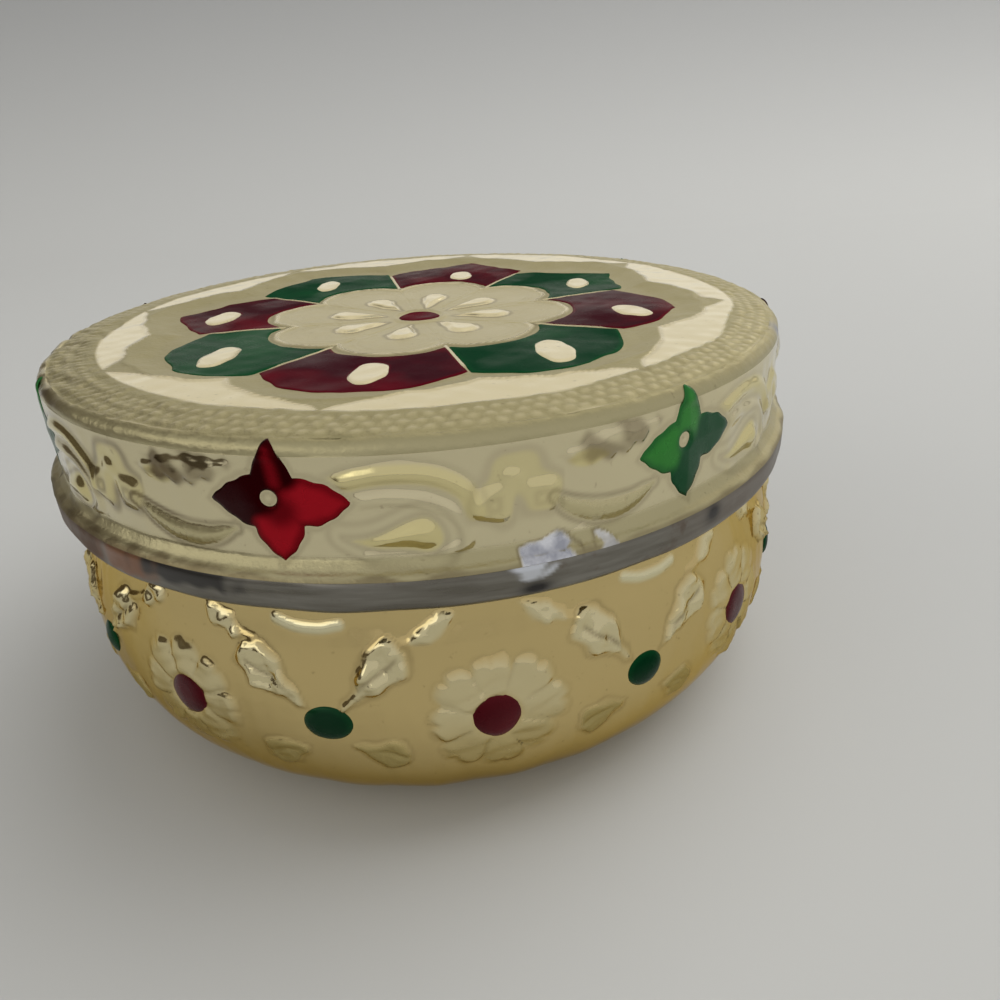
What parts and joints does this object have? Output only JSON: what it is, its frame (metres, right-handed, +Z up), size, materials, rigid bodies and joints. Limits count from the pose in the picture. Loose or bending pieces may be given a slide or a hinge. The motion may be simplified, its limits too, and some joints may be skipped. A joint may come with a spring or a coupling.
{
  "type": "trinket box",
  "caption": "Round pressed-tin trinket box with a bulging base and a slip-on lid, covered in embossed gold foil with red and green enamel flowers; holds small jewellery.",
  "frame": {"origin": "on the surface that the box stands on, under the middle of the base", "axes": "+Z up along the box's axis, -Y towards the front daisy's side that the picture shows"},
  "size_m": [0.076, 0.076, 0.0383],
  "materials": {
    "tin": "bare pressed tin plate, dulled and stained",
    "base_foil": "embossed gold-lacquered foil, glossy",
    "lid_foil": "embossed pale gold-lacquered foil, mirror flats and finely textured grounds",
    "red_enamel": "glossy translucent dark red enamel paint",
    "green_enamel": "glossy translucent deep green enamel paint",
    "flock": "dark red flock"
  },
  "bodies": {
    "base": {"base_shell": "tin", "base_foil": "base_foil", "base_lining": "flock", "daisy_enamel_1": "red_enamel", "daisy_enamel_2": "red_enamel", "daisy_enamel_3": "red_enamel", "daisy_enamel_4": "red_enamel", "daisy_enamel_5": "red_enamel", "daisy_enamel_6": "red_enamel", "daisy_enamel_7": "red_enamel", "daisy_enamel_8": "red_enamel", "daisy_enamel_9": "red_enamel", "sprig_enamel_1": "green_enamel", "sprig_enamel_2": "green_enamel", "sprig_enamel_3": "green_enamel", "sprig_enamel_4": "green_enamel", "sprig_enamel_5": "green_enamel", "sprig_enamel_6": "green_enamel", "sprig_enamel_7": "green_enamel", "sprig_enamel_8": "green_enamel", "sprig_enamel_9": "green_enamel"},
    "lid": {"lid_shell": "tin", "lid_top_foil": "lid_foil", "lid_side_foil": "lid_foil", "lid_lining": "flock", "heart_enamel": "red_enamel", "petal_enamel_1": "red_enamel", "petal_enamel_2": "green_enamel", "petal_enamel_3": "red_enamel", "petal_enamel_4": "green_enamel", "petal_enamel_5": "red_enamel", "petal_enamel_6": "green_enamel", "petal_enamel_7": "red_enamel", "petal_enamel_8": "green_enamel", "flower_enamel_1": "green_enamel", "flower_enamel_2": "red_enamel", "flower_enamel_3": "green_enamel", "flower_enamel_4": "red_enamel", "flower_enamel_5": "green_enamel", "flower_enamel_6": "red_enamel", "flower_enamel_7": "green_enamel"}
  },
  "joints": [
    {"name": "lid_lift", "type": "slide", "parent": "base", "child": "lid", "axis": [0, 0, 1], "range_m": [0, 0.04]}
  ]
}
